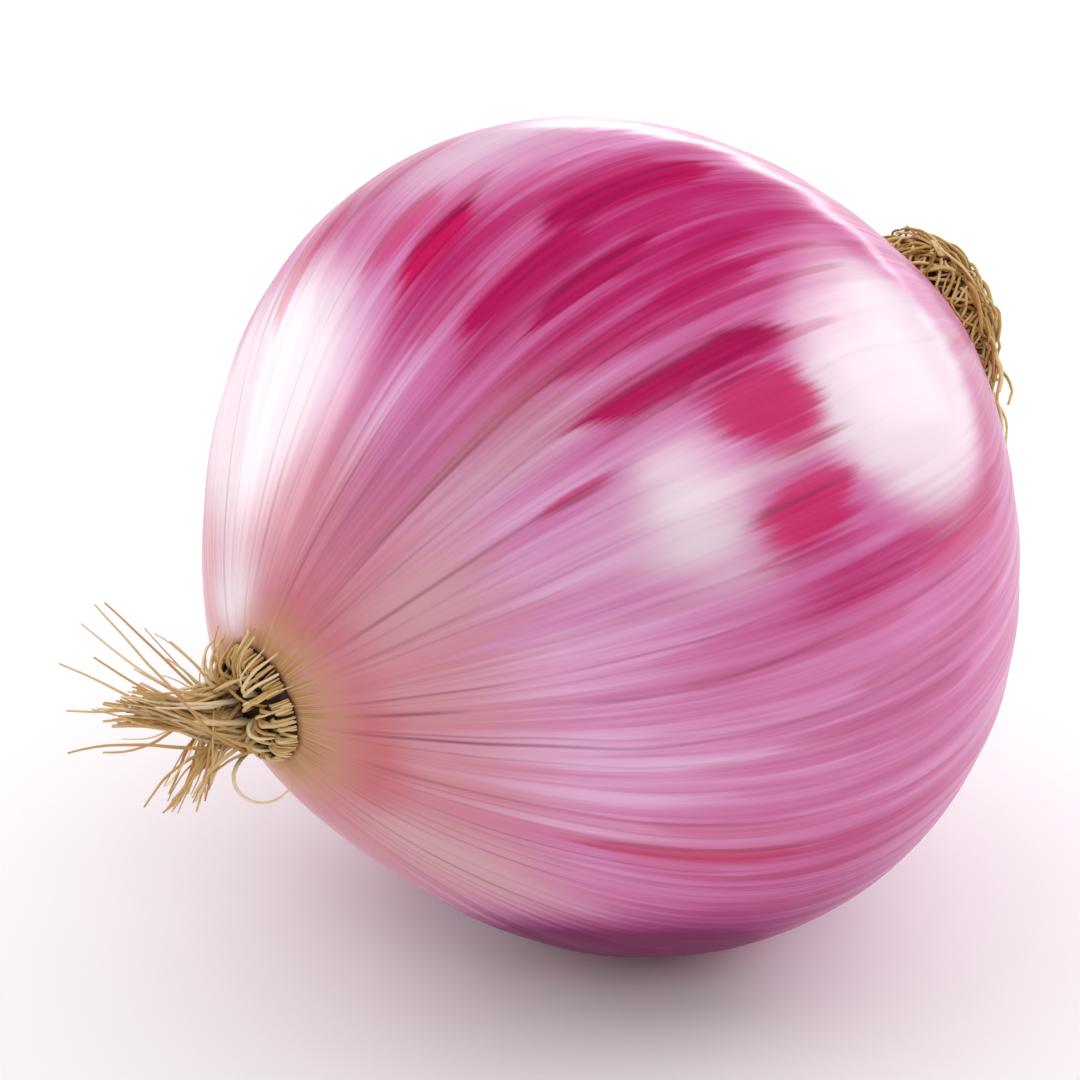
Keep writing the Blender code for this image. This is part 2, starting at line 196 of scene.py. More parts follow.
def tinted(tree, colour, mask, strength, tint):
    return blendColour(tree, calc(tree, "MULTIPLY", mask, strength), colour, tint)


def attribute(tree, name, output="Fac"):
    return node(tree, "ShaderNodeAttribute", attribute_name=name).outputs[output]


def srgb(red, green, blue):
    # a colour as it is seen, 0 to 255, to the linear values that a shader takes
    return tuple(
        v / 12.92 if v <= 0.04045 else ((v + 0.055) / 1.055) ** 2.4
        for v in (red / 255, green / 255, blue / 255)
    )


def arrange(tree):
    # nodes stand in columns, by how many links they are from the output
    column = dict.fromkeys(tree.nodes.keys(), 0)
    for _ in tree.nodes:
        for joined in tree.links:
            name = joined.from_node.name
            column[name] = max(column[name], column[joined.to_node.name] + 1)
    filled = {}
    for made in tree.nodes:
        place = column[made.name]
        filled[place] = filled.get(place, 0) + 1
        made.location = (-220 * place, -180 * filled[place])


def newGroup(name, output, **inputs):
    # a node group with one output, where an input without a value is a vector
    tree = bpy.data.node_groups.new(name, "ShaderNodeTree")
    for key, value in inputs.items():
        kind = "NodeSocketVector" if value is None else "NodeSocketFloat"
        made = tree.interface.new_socket(name=key, in_out="INPUT", socket_type=kind)
        if value is not None:
            made.default_value = value
    tree.interface.new_socket(name=output, in_out="OUTPUT", socket_type="NodeSocketFloat")
    came, goes = node(tree, "NodeGroupInput"), node(tree, "NodeGroupOutput")
    return tree, came.outputs, goes.inputs


def makeStriationGroup():
    # Fine lines that run from root to neck. Grain holds (cos, sin) of the longitude, then the polar angle.
    tree, came, goes = newGroup("striation", "Lines", Grain=None, Fineness=30.0, Stretch=0.6, Detail=2.0)
    scale = node(tree, "ShaderNodeCombineXYZ", X=came["Fineness"], Y=came["Fineness"], Z=came["Stretch"])
    placed = node(tree, "ShaderNodeVectorMath", operation="MULTIPLY")
    placed = inTurn(tree, placed, came["Grain"], scale.outputs[0])
    noise = node(tree, "ShaderNodeTexNoise", Vector=placed, Scale=1.0, Detail=came["Detail"], Roughness=0.6)
    feed(tree, smooth(tree, noise.outputs["Fac"], 0.28, 0.72), goes["Lines"])
    arrange(tree)
    return tree


def makeMottleGroup():
    # Soft blotches at one scale, for wear, dust and uneven tone
    tree, came, goes = newGroup("mottle", "Patches", Place=None, Size=0.01, Contrast=1.0)
    per = calc(tree, "DIVIDE", 1.0, came["Size"])
    noise = node(tree, "ShaderNodeTexNoise", Vector=came["Place"], Scale=per, Detail=4.0, Roughness=0.55)
    centred = calc(tree, "SUBTRACT", noise.outputs["Fac"], 0.5)
    stretched = calc(tree, "MULTIPLY", centred, came["Contrast"])
    feed(tree, calc(tree, "ADD", stretched, 0.5, clamp=True), goes["Patches"])
    arrange(tree)
    return tree


def makeVeiningGroup():
    # Thin veins that run from root to neck, one in each of Count slices of longitude: each stands off its
    # slice's middle, wanders, and fades in and out. Width is in radians on the bulb's middle.
    tree, came, goes = newGroup("veining", "Veins", Grain=None, Count=30.0, Wander=1.0, Width=0.01)
    split = node(tree, "ShaderNodeSeparateXYZ", Vector=came["Grain"]).outputs
    turn = calc(tree, "ARCTAN2", split["Y"], split["X"])
    slices = calc(tree, "DIVIDE", came["Count"], 2 * math.pi)
    noise = node(tree, "ShaderNodeTexNoise", Vector=came["Grain"], Scale=1.6, Detail=1.0)
    wander = calc(tree, "MULTIPLY", calc(tree, "SUBTRACT", noise.outputs["Fac"], 0.5), came["Wander"])
    place = calc(tree, "ADD", calc(tree, "MULTIPLY", turn, slices), wander)
    place = calc(tree, "FLOORED_MODULO", place, came["Count"])
    own = calc(tree, "FLOOR", place)
    inside = calc(tree, "FRACT", place)
    draw = node(tree, "ShaderNodeTexWhiteNoise", noise_dimensions="1D", W=own).outputs
    shift = calc(tree, "MULTIPLY", draw["Value"], 0.7)
    off = calc(tree, "SUBTRACT", calc(tree, "SUBTRACT", inside, 0.15), shift)
    off = calc(tree, "DIVIDE", calc(tree, "ABSOLUTE", off), slices)
    girthHere = calc(tree, "MAXIMUM", calc(tree, "SINE", split["Z"]), 0.25)
    off = calc(tree, "DIVIDE", calc(tree, "MULTIPLY", off, girthHere), came["Width"])
    near = calc(tree, "SUBTRACT", 1.0, smooth(tree, off, 0.0, 1.0))
    tone = node(tree, "ShaderNodeSeparateXYZ", Vector=draw["Color"]).outputs
    along = calc(tree, "ADD", calc(tree, "MULTIPLY", own, 7.3), split["Z"])
    broken = node(tree, "ShaderNodeTexNoise", noise_dimensions="1D", W=along, Scale=1.5, Detail=1.0)
    plain = smooth(tree, broken.outputs["Fac"], 0.30, 0.62)
    strong = calc(tree, "MULTIPLY", plain, smooth(tree, tone["Y"], 0.0, 1.0))
    feed(tree, calc(tree, "MULTIPLY", near, strong), goes["Veins"])
    arrange(tree)
    return tree


striation = makeStriationGroup()
mottle = makeMottleGroup()
veining = makeVeiningGroup()


def effect(tree, group, **inputs):
    return node(tree, "ShaderNodeGroup", node_tree=group, **inputs).outputs[0]


def newMaterial(name, **inputs):
    made = bpy.data.materials.new(name)
    made.use_nodes = True
    shader = fill(made.node_tree, made.node_tree.nodes["Principled BSDF"], **inputs)
    return made, made.node_tree, shader


# Colour of the skin, as it is seen: a pink ground that deepens in bands, with magenta streaks over it,
# whitened for painted highlights and darkened for painted shade underneath
skinLooks = {
    "light": srgb(230, 174, 214),
    "ground": srgb(212, 118, 174),
    "rose": srgb(186, 34, 108),
    # pale whitens the skin as painted highlight where the softboxes reflect, and elsewhere is pale skin
    "pale": srgb(239, 222, 232),
    "dusty": srgb(208, 128, 134),
    "cream": srgb(216, 170, 174),
    "purple": srgb(170, 66, 140),
    # painted shade: the underside where it meets the floor, darkest at the bottom rim
    "bellyShade": srgb(142, 0, 98),
    "undersideShade": srgb(84, 0, 60),
    "magenta": srgb(184, 0, 88),
    "wine": srgb(156, 0, 76),
    "crimson": srgb(208, 8, 90),
    "salmon": srgb(204, 100, 108),
    "olive": srgb(186, 126, 116),
    "vein": srgb(130, 32, 70),
    "tan": srgb(198, 140, 106),
    "straw": srgb(208, 164, 120),
    "husk": srgb(172, 126, 84),
}

# Deep streaks: longitude, half width, polar angle of both ends (degrees), strength, share of crimson
streaks = [
    (-36.6, 1.7, 61, 93, 1.0, 0.0),
    (-28.0, 1.2, 61, 78, 0.75, 0.0),
    (-26.8, 2.0, 79, 97, 0.80, 0.0),
    (-22.8, 1.2, 86, 101, 0.70, 0.1),
    (-22.8, 0.9, 64, 84, 0.50, 0.0),
    (-18.6, 1.4, 64, 86, 0.95, 0.0),
    (-15.6, 0.9, 84, 97, 0.60, 0.0),
    (-11.6, 1.9, 56, 80, 1.0, 0.0),
    (-7.4, 2.6, 77, 107, 1.0, 0.0),
    (-5.0, 1.3, 50, 65, 0.50, 0.5),
    (4.9, 2.2, 57, 73, 1.0, 0.7),
    (7.8, 1.2, 62, 80, 0.40, 0.3),
    (12.5, 2.6, 58, 74, 0.50, 1.0),
    (-59.5, 4.0, 76, 92, 0.75, 0.9),
    (-58.0, 2.0, 80, 91, 0.60, 0.7),
    (-45.0, 5.0, 77, 93, 0.84, 0.7),
    (-43.2, 1.8, 76, 92, 0.80, 0.4),
    (-44.0, 0.9, 49, 60, 0.60, 0.7),
    (-66.0, 1.0, 76, 94, 0.25, 0.6),
    (-73.0, 1.9, 76, 98, 0.25, 0.4),
    (-77.5, 1.3, 60, 96, 0.35, 0.2),
    (-74.0, 1.4, 98, 124, 0.50, 0.6),
    (-85.0, 1.2, 84, 116, 0.40, 0.3),
    (-91.0, 1.1, 70, 106, 0.35, 0.1),
    (-110.0, 1.2, 45, 74, 0.55, 1.0),
    (-104.0, 1.1, 52, 90, 0.25, 0.3),
    (-48.0, 1.3, 134, 152, 0.45, 0.6),
]

# Faint thin streaks by a seeded rule: how many, and where they may lie (degrees)
faintStreaks = (
    {"count": 34, "longitude": (-40, 4), "start": (52, 90), "length": (10, 30), "width": (0.4, 1.0),
     "strength": (0.15, 0.5)},
    {"count": 26, "longitude": (-125, -60), "start": (40, 96), "length": (14, 44), "width": (0.5, 1.4),
     "strength": (0.08, 0.24)},
    {"count": 60, "longitude": (24, 205), "start": (44, 92), "length": (12, 42), "width": (0.5, 1.4),
     "strength": (0.15, 0.45)},
)

# Bands where the ground is deeper: longitude, half width, polar angle, half length (degrees), depth
rosyBands = [
    (-22, 12, 84, 16, 0.53),
    (-8, 5, 94, 14, 0.34),
    (-10, 8, 60, 10, 0.42),
    (-18, 10, 108, 12, 0.36),
    (-77, 10, 88, 24, 0.38),
    (-72, 5, 110, 18, 0.35),
    (-100, 14, 84, 24, 0.30),
    (-124, 14, 76, 20, 0.45),
    (5, 5, 66, 10, 0.50),
    (26, 16, 66, 7, 0.15),
    (-52, 15, 84, 6, 0.30),
    (-38, 26, 139, 12, 0.45),
    (-95, 30, 126, 14, 0.25),
    (0, 12, 122, 12, 0.25),
]

# Zones of one colour: strength, longitude, half width, polar angle, half height (degrees), and a power
# that makes a zone flatter inside and crisper at its edge
zones = {
    # pale: painted highlights under both softboxes' reflections and a painted highlight patch in the middle,
    # with pale skin on the far side
    "pale": (
        (0.55, -57, 5, 67, 6),
        (0.5, -48, 5, 68, 6),
        (0.25, -64, 5, 73, 6),
        (0.4, -53, 2.5, 84, 8),
        (1.0, 34, 25, 40, 16, 2),
        (0.9, 34, 26, 11, 6),
        (0.2, 30, 16, 76, 8),
        (0.95, -48, 19, 110, 17, 3),
        (0.3, -46, 12, 132, 12),
        (-0.35, -35, 6, 104, 9),
        (0.5, 18, 9, 92, 16),
        (0.25, -60, 9, 50, 12),
        (0.7, 110, 26, 40, 22),
        (0.6, 175, 16, 46, 20),
    ),
    "purple": (
        # the first of these deepens toward the shaded underside as painted shade, the others are purple skin
        (0.45, -124, 12, 80, 18), (0.35, -60, 60, 141, 14), (0.40, -18, 10, 34, 12), (0.6, 150, 22, 84, 30),
    ),
    "olive": ((1.0, -30, 6, 50, 11), (0.4, -70, 8, 30, 9)),
    "salmon": ((0.9, -98, 26, 18, 4), (0.2, -20, 22, 19, 5), (0.4, -108, 5, 56, 14), (0.3, 24, 16, 62, 6)),
    # painted shade along the bottom of the bulb, where it meets the floor
    "bellyShade": ((1.0, -152, 19, 64, 18, 2), (0.8, 176, 26, 80, 30), (0.4, -130, 8, 78, 14)),
    "cream": ((0.75, -47, 9, 31, 9), (0.9, -134, 12, 30, 14)),
}

# The coat's weight and what dry skin and the painted shade on the underside take off it, then roughness and
# relief
skinFinish = {
    "gloss": 0.42, "dryDull": 0.40, "bellyDull": 0.26,
    "roughness": 0.32, "hairRoughness": 0.08, "dryRoughness": 0.3,
    "bump": 0.2, "bumpDepth": 0.00006,
}


def unseenStreaks(rng):
    # the far side carries on in the same manner
    made = []
    for longitude in np.arange(24, 200, 7.0):
        start = rng.uniform(48, 84)
        made.append((
            longitude + rng.uniform(-3.0, 3.0),
            rng.uniform(0.9, 2.6),
            start,
            start + rng.uniform(14, 38),
            rng.uniform(0.35, 1.0),
            rng.choice([0.0, 0.2, 0.4, 1.0]),
        ))
    return made


def thinStreaks(rng):
    made = []
    for rule in faintStreaks:
        for _ in range(rule["count"]):
            place, start, length, width, strength = (
                rng.uniform(*rule[key]) for key in ("longitude", "start", "length", "width", "strength")
            )
            made.append((place, width, start, start + length, strength, rng.choice([0.0, 0.3])))
    return made


def turnFrom(longitude, degrees):
    return (np.degrees(longitude) - degrees + 180) % 360 - 180


def softStep(value, low, high):
    share = np.clip((value - low) / (high - low), 0, 1)
    return share * share * (3 - 2 * share)


def streakFields(polar, longitude):
    # a soft ramp for each streak, which the material sharpens with ragged ends, then its strength and its red
    degrees = np.degrees(polar)
    ramp, total, strength, red = (np.full(np.broadcast(polar, longitude).shape, 1e-9) for _ in range(4))
    rng = np.random.default_rng(skin["seed"])
    for place, width, start, end, depth, crimson in streaks + unseenStreaks(rng) + thinStreaks(rng):
        wander = 0.25 * width * np.sin(degrees / rng.uniform(7, 14) + rng.uniform(0, 6.3))
        off = (turnFrom(longitude, place) + wander) / width
        level = degrees + rng.uniform(-2, 2) * np.clip(off, -1.5, 1.5)
        lengthwise = softStep(level, start - 7, start + 7) * (1 - softStep(level, end - 6, end + 6))
        field = np.exp(-0.5 * np.abs(off) ** 2.4) * lengthwise
        ramp = np.maximum(ramp, field)
        weight = (field * (0.3 + depth)) ** 4     # the stronger streak wins, with no edge between two
        total, strength, red = total + weight, strength + weight * depth, red + weight * crimson
    return np.stack([ramp, strength / total, red / total], -1)


def zone(degrees, longitude, place, width, level, height, power=1):
    off = (turnFrom(longitude, place) / width) ** 2 + ((degrees - level) / height) ** 2
    return np.exp(-0.5 * off**power)


def zoneMasks(polar, longitude, names):
    degrees = np.degrees(polar)
    masks = [sum(row[0] * zone(degrees, longitude, *row[1:]) for row in zones[name]) for name in names]
    return np.stack([np.clip(mask, 0, 1) for mask in masks], -1)


def rosyField(polar, longitude):
    # how deep the pink ground is, in bands that run from root to neck
    degrees = np.degrees(polar)
    rng = np.random.default_rng(skin["seed"] + 5)
    total = skin["rosyDepth"] + np.zeros(np.broadcast(polar, longitude).shape)
    for place, width, level, reach, depth in rosyBands:
        total += depth * zone(degrees, longitude, place, width, level, reach)
    for turn in np.arange(0, 360, 3.0):
        place = turn + rng.uniform(-1.5, 1.5)
        width, level, reach = rng.uniform(0.7, 3.4), rng.uniform(35, 140), rng.uniform(16, 46)
        total += rng.normal(0, skin["fineDepth"]) * zone(degrees, longitude, place, width, level, reach)
    farSide = softStep(np.abs(turnFrom(longitude, 120)), 110, 60)
    return total + farSide * skin["farDepth"] * np.exp(-0.5 * ((degrees - 82) / 26) ** 2)


def dryness(polar, longitude):
    # one at either end, fading into the fresh skin, sooner on the side with the painted highlight
    degrees = np.degrees(polar)
    rootSide = 1 - softStep(degrees, 6, 42 - 22 * np.exp(-0.5 * (turnFrom(longitude, 34) / 20) ** 2))
    neckSide = 1 - softStep(180 - degrees, 6, 30)
    return np.maximum(rootSide, neckSide)


def around(longitude, pairs):
    total = 0.0
    for waves, height, phase in pairs:
        total = total + height * np.cos(waves * longitude + phase)
    return total


def skinRelief(polar, longitude, rng):
    nearEnds = np.minimum(polar, math.pi - polar)
    ribs = skin["ribHeight"] * np.cos(skin["ribs"] * longitude) * np.exp(-((nearEnds / 0.6 - 1) ** 2))
    veins = around(longitude, [(w, 1.0, rng.uniform(0, 6.3)) for w in (71, 97, 113, 139)])
    veins = skin["veinHeight"] * veins * (0.35 + 0.9 * np.exp(-((nearEnds / 0.5) ** 2)))
    dents = around(longitude + 0.5 * polar, [(w, 1.0 / w, rng.uniform(0, 6.3)) for w in (3, 5, 8, 13)])
    dents = skin["dentHeight"] * dents * np.sin(polar) ** 2 * 2
    return (ribs + veins) * np.sin(polar) + dents


def layers(tree, name):
    # three masks that are kept together in one vector attribute
    return node(tree, "ShaderNodeSeparateXYZ", Vector=attribute(tree, name, "Vector")).outputs


def shifted(tree, value, noise, amount):
    # a mask whose level is moved up and down by a noise around one half
    swing = calc(tree, "MULTIPLY", calc(tree, "SUBTRACT", noise, 0.5), amount)
    return calc(tree, "ADD", value, swing)


def makeSkinMaterial():
    # nearly all of the gloss is in the coat, which keeps the edges from turning white
    made, tree, shader = newMaterial("onionSkin", Specular_IOR_Level=0.03, Coat_IOR=2.0, Coat_Roughness=0.18)
    looks, finish = skinLooks, skinFinish
    grain = attribute(tree, "grain", "Vector")
    rosy = attribute(tree, "rosy")
    streakRamp, streakStrength, red = layers(tree, "streak")
    paleAndHighlightZone, purpleZone, oliveZone = layers(tree, "tint")
    salmonZone, bellyShadeZone, creamZone = layers(tree, "blushAndShade")
    dryZone = attribute(tree, "dry")
    polar = attribute(tree, "polar")
    place = node(tree, "ShaderNodeTexCoord").outputs["Object"]

    broad = effect(tree, striation, Grain=grain, Fineness=8.0, Stretch=0.6)
    fine = effect(tree, striation, Grain=grain, Fineness=30.0, Stretch=1.0)
    hair = effect(tree, striation, Grain=grain, Fineness=90.0, Stretch=1.5)
    cloud = effect(tree, mottle, Place=place, Size=0.012, Contrast=1.4)

    # the ground: light, mid and rose by depth, with striation in the depth itself
    depth = rosy
    for noise, amount in ((broad, 0.32), (fine, 0.32), (hair, 0.14), (cloud, 0.18)):
        depth = shifted(tree, depth, noise, amount)
    colour = blendColour(tree, smooth(tree, depth, -0.05, 0.55), looks["light"], looks["ground"])
    colour = blendColour(tree, smooth(tree, depth, 0.40, 1.20), colour, looks["rose"])

    # broad tints: pale carries painted highlights, and the last two are painted shade on the underside
    nearEnd = shifted(tree, shifted(tree, dryZone, fine, 0.08), hair, 0.03)
    dusty = calc(tree, "SUBTRACT", 1.0, smooth(tree, polar, 0.30, 1.0))
    for area, tint, strength in (
        (dusty, "dusty", 0.8),
        (purpleZone, "purple", 0.8),
        (oliveZone, "olive", 0.45),
        (creamZone, "cream", 0.8),
        (salmonZone, "salmon", 0.85),
        (paleAndHighlightZone, "pale", 0.92),
        (bellyShadeZone, "bellyShade", 0.92),
        # the last two are painted shade on the underside
        (smooth(tree, bellyShadeZone, 0.70, 1.0), "undersideShade", 0.5),
    ):
        mask = smooth(tree, shifted(tree, area, fine, 0.22), 0.06, 0.95)
        colour = tinted(tree, colour, mask, strength, looks[tint])

    # ragged streaks: the lines shift the soft ramp before it is sharpened, and darken the streak in places
    ragged = shifted(tree, shifted(tree, streakRamp, fine, 0.38), hair, 0.16)
    streakMask = calc(tree, "MULTIPLY", smooth(tree, ragged, 0.22, 0.74), streakStrength)
    inside = blendColour(tree, red, looks["magenta"], looks["crimson"])
    inside = blendColour(tree, smooth(tree, fine, 0.50, 1.0), inside, looks["wine"])
    colour = blendColour(tree, streakMask, colour, inside)

    # veins, plainer towards the root and fainter on pale skin and painted highlights
    thin = effect(tree, veining, Grain=grain, Count=84.0, Wander=1.4, Width=0.0060)
    wide = effect(tree, veining, Grain=grain, Count=36.0, Wander=0.6, Width=0.0085)
    both = calc(tree, "MAXIMUM", calc(tree, "MULTIPLY", thin, 0.6), wide)
    faded = calc(tree, "MULTIPLY", smooth(tree, polar, 0.3, 1.7), 0.55)
    faded = calc(tree, "SUBTRACT", 0.85, faded)
    notPaleOrHighlight = calc(tree, "SUBTRACT", 1.0, calc(tree, "MULTIPLY", paleAndHighlightZone, 0.6))
    mask = calc(tree, "MULTIPLY", both, calc(tree, "MULTIPLY", faded, notPaleOrHighlight))
    colour = blendColour(tree, mask, colour, looks["vein"])

    # towards the roots and the neck the skin turns salmon, tan and then dry straw
    for low, high, tint, strength in ((0.50, 0.90, "salmon", 0.50), (0.72, 0.96, "tan", 0.85)):
        mask = calc(tree, "MULTIPLY", smooth(tree, nearEnd, low, high), notPaleOrHighlight)
        colour = tinted(tree, colour, mask, strength, looks[tint])
    straw = blendColour(tree, smooth(tree, hair, 0.2, 0.8), looks["husk"], looks["straw"])
    dry = smooth(tree, nearEnd, 0.90, 1.0)
    colour = blendColour(tree, dry, colour, straw)

    rough = calc(tree, "MULTIPLY_ADD", hair, finish["hairRoughness"], finish["roughness"])
    rough = calc(tree, "ADD", rough, calc(tree, "MULTIPLY", dry, finish["dryRoughness"]))
    dryDull = calc(tree, "MULTIPLY", dry, finish["dryDull"])
    bellyDull = calc(tree, "MULTIPLY", bellyShadeZone, finish["bellyDull"])
    coat = calc(tree, "SUBTRACT", finish["gloss"], calc(tree, "MAXIMUM", dryDull, bellyDull))
    height = calc(tree, "MULTIPLY_ADD", hair, 0.5, fine)
    bump = node(tree, "ShaderNodeBump", Strength=finish["bump"], Distance=finish["bumpDepth"], Height=height)
    fill(tree, shader, Base_Color=colour, Roughness=rough, Coat_Weight=coat, Normal=bump.outputs["Normal"])
    arrange(tree)
    return made


def makeSeat(radius, way):
    # the mouth of the seat in one end of the bulb: way is 1 at the roots and -1 at the neck
    polar = math.asin(radius) if way > 0 else math.pi - math.asin(radius)
    along = float(alongAxis(np.float64(polar)))
    y, z = axisOffset(along)
    sinSweep, cosSweep = math.sin(bulb["sweep"]), math.cos(bulb["sweep"])
    return {
        "way": way, "polar": polar, "radius": radius * R,
        "mouth": np.array([-along, y, z]), "out": np.array([-way, 0.0, 0.0]),
        "sweep": np.array([0, sinSweep, cosSweep]), "across": np.array([0, -cosSweep, sinSweep]),
    }


def seatFloor(seat, rim):
    # the rim drawn in and sunk into the bulb
    return seat["mouth"] - seat["out"] * bulb["seatDepth"] + (rim - seat["mouth"]) * bulb["seatTaper"]


rootSeat = makeSeat(bulb["rootSeat"], 1.0)
neckSeat = makeSeat(bulb["neckSeat"], -1.0)


def makeSkin():
    rng = np.random.default_rng(skin["seed"])
    columns = skin["columns"]
    polars = np.linspace(rootSeat["polar"], neckSeat["polar"], skin["rows"])
    turns = np.linspace(-math.pi, math.pi, columns, endpoint=False)
    polar, longitude = np.meshgrid(polars, turns, indexing="ij")
    surface = skinPoints(polar, longitude, skinRelief(polar, longitude, rng))
    rows = [seatFloor(rootSeat, surface[0]), *surface, seatFloor(neckSeat, surface[-1])]
    points = lay(np.concatenate(rows))
    points[:, 2] = np.maximum(points[:, 2], 0.0)    # the flat spot it rests on
    polar = np.repeat([polars[0], *polars, polars[-1]], columns)
    longitude = np.tile(turns, len(rows))
    attributes = {
        "grain": np.stack([np.cos(longitude), np.sin(longitude), polar], -1),
        "streak": streakFields(polar, longitude),
        "rosy": rosyField(polar, longitude),
        "tint": zoneMasks(polar, longitude, ("pale", "purple", "olive")),
        "blushAndShade": zoneMasks(polar, longitude, ("salmon", "bellyShade", "cream")),
        "dry": dryness(polar, longitude),
        "polar": polar,
    }
    made = newMesh("bulbSkin", points, ringFaces(columns, len(rows)), makeSkinMaterial(), attributes)
    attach(made, "root")
    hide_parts("bulb")


makeSkin()
print("skin done")

# Strands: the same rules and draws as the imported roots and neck, then more of them
goldenAngle = math.pi * (3 - math.sqrt(5))
roots = {
    "seed": 11, "moreSeed": 41,
    "thickness": 0.00070, "wispThickness": 0.00056,
    "sunk": 0.0006, "fineClearance": 0.00038,
    "fan": 27, "loops": 3, "sheaf": 13, "under": 7,
    "fanReach": 0.145, "fanPull": 0.035, "fanRise": (0.07, 0.11),
    "plateFibres": 150, "moreFan": 12, "fineFan": 16, "moreLoops": 4,
    "moreSheaf": 60, "moreUnder": 16, "moreWisps": 8,
    "steps": 16, "sides": 7, "plateSides": 96,
    # the plate's rings: height, share of its radius, and a painted shade, darker in the middle under and
    # between the roots
    "plateRings": (
        (-bulb["plugDepth"], bulb["seatTaper"], 0.06), (0.0, 1.0, 0.06), (0.0006, 0.97, 0.05),
        (0.0011, 0.80, 0.03), (0.0015, 0.45, 0.0), (0.0017, 0.08, 0.0),
    ),
    # the thin root that hangs in a hook under the plate: out, sweep and across over the bulb's radius
    "hook": ((0.04, -0.08, -0.02), (0.24, -0.11, -0.02), (0.11, -0.26, -0.02), (0.01, -0.20, -0.02)),
    # the roots that reach out leave one side of the plate
    "reachingTurn": math.radians(-95), "reachingSpread": math.radians(75),
    "sheafTips": ((0.315, 0.120, 0.020), (0.060, 0.035, 0.055)),
    "underTips": ((0.270, -0.115, -0.030), (0.070, 0.030, 0.070)),
    "wispTips": (
        (0.276, 0.358, 0.02), (0.203, 0.355, -0.08), (0.364, 0.329, 0.10), (0.260, 0.256, -0.14),
        (0.423, 0.273, 0.03), (0.420, 0.174, -0.05), (0.523, 0.087, 0.08), (0.353, 0.055, -0.12),
        (0.396, -0.092, 0.04), (0.420, -0.123, 0.16), (0.240, -0.156, -0.06), (0.155, 0.180, -0.02),
        (0.060, 0.215, -0.16), (0.310, 0.120, 0.24),
    ),
}
neck = {
    "seed": 23, "moreSeed": 57,
    "stubHeight": 0.105 * R, "flare": 1.24, "folds": 9, "foldDepth": 0.07, "stubSides": 144,
    "shift": 0.070 * R,
    "matRadius": 0.225 * R, "matHeight": 0.118 * R, "matBase": 0.012 * R,
    "fibres": 50, "tails": 8, "moreFibres": 170, "skirt": 220, "moreTails": 14,
    "tailTurn": math.radians(141), "tailReach": (0.26, 0.38),
    "thickness": 0.00062, "fineThickness": 0.00034,
    "steps": 16, "sides": 6,
}


def seatPlace(seat, out, sweep, across):
    return seat["mouth"] + seat["out"] * out + seat["sweep"] * sweep + seat["across"] * across


def raised(points, seat, clearance):
    # beyond the seat, each point stands at least this far off the skin, raised along the bulb's axis
    points = np.array(points, float)
    way, along = seat["way"], -points[:, 0]
    y, z = axisOffset(along)
    side, up = points[:, 1] - y, points[:, 2] - z
    reach = np.hypot(side, up)
    pole = 0.0 if way > 0 else math.pi
    widest = fullness(np.arctan2(side, up), way)

    def skinAt(distance):
        angle = np.arcsin(np.clip(distance / widest, 0, 0.98))
        return way * alongAxis(np.abs(pole - angle))

    step = 0.0002
    slope = (skinAt(reach + step) - skinAt(reach - step)) / (2 * step)
    wanted = skinAt(reach) + clearance * np.sqrt(1 + slope**2)
    lift = (reach >= bulb["plateShare"] * seat["radius"]) & (way * along < wanted)
    points[lift, 0] = -(way * wanted)[lift]
    return points


def bezier(controls, steps):
    share = np.linspace(0, 1, steps + 1)[:, None]
    a, b, c, d = (np.asarray(p) for p in controls)
    rest = 1 - share
    return a * rest**3 + b * 3 * rest**2 * share + c * 3 * rest * share**2 + d * share**3


def plateBase(share, turn):
    reach = rootSeat["radius"] * bulb["plateShare"] * math.sqrt(share)
    return reach * math.cos(turn), reach * math.sin(turn)


def fanRoot(rng, index, spread=0.015, start=-1.0):
    # a root that comes up near the middle of the plate and curls outwards over its edge
    sweep, across = plateBase(rng.uniform(0.04, 0.32), index * goldenAngle + rng.uniform(-0.2, 0.2))
    end = math.atan2(across, sweep) + rng.uniform(-0.25, 0.25)
    reach = R * (roots["fanReach"] + roots["fanPull"] * math.cos(end) + rng.uniform(-spread, spread))
    rise = R * rng.uniform(*roots["fanRise"])
    over = math.cos(end) * reach, math.sin(end) * reach
    return [
        seatPlace(rootSeat, start * roots["sunk"], sweep, across),
        seatPlace(rootSeat, rise, sweep * 1.4, across * 1.4),
        seatPlace(rootSeat, rise * 1.05, over[0] * 0.75, over[1] * 0.75),
        seatPlace(rootSeat, rng.uniform(-0.02, 0.03) * R, *over),
    ]


def loopRoot(rng, index):
    turn = -1.9 + 0.55 * index + rng.uniform(-0.2, 0.2)
    start = plateBase(rng.uniform(0.5, 0.9), turn)
    end = plateBase(rng.uniform(0.5, 0.95), turn + rng.uniform(1.3, 2.3))
    rise = R * rng.uniform(0.085, 0.125)
    return [
        seatPlace(rootSeat, -roots["sunk"], *start),
        seatPlace(rootSeat, rise, start[0] * 1.3, start[1] * 1.3),
        seatPlace(rootSeat, rise, end[0] * 1.3, end[1] * 1.3),
        seatPlace(rootSeat, -roots["sunk"], *end),
    ]


def reachingRoot(rng, tip, wander):
    turn = roots["reachingTurn"] + roots["reachingSpread"] * rng.uniform(-1, 1)
    sweep, across = plateBase(rng.uniform(0.05, 0.9), turn)
    out, over, aside = (value * R for value in tip)
    bend = wander * R * rng.uniform(-1, 1, 2)
    return [
        seatPlace(rootSeat, -roots["sunk"], sweep, across),
        seatPlace(rootSeat, out * 0.38, sweep * 1.1 + bend[0] * 0.5, across * 1.1 + bend[1] * 0.5),
        seatPlace(rootSeat, out * 0.66, over * 0.45 + bend[0], aside * 0.5 + bend[1]),
        seatPlace(rootSeat, out, over, aside),
    ]


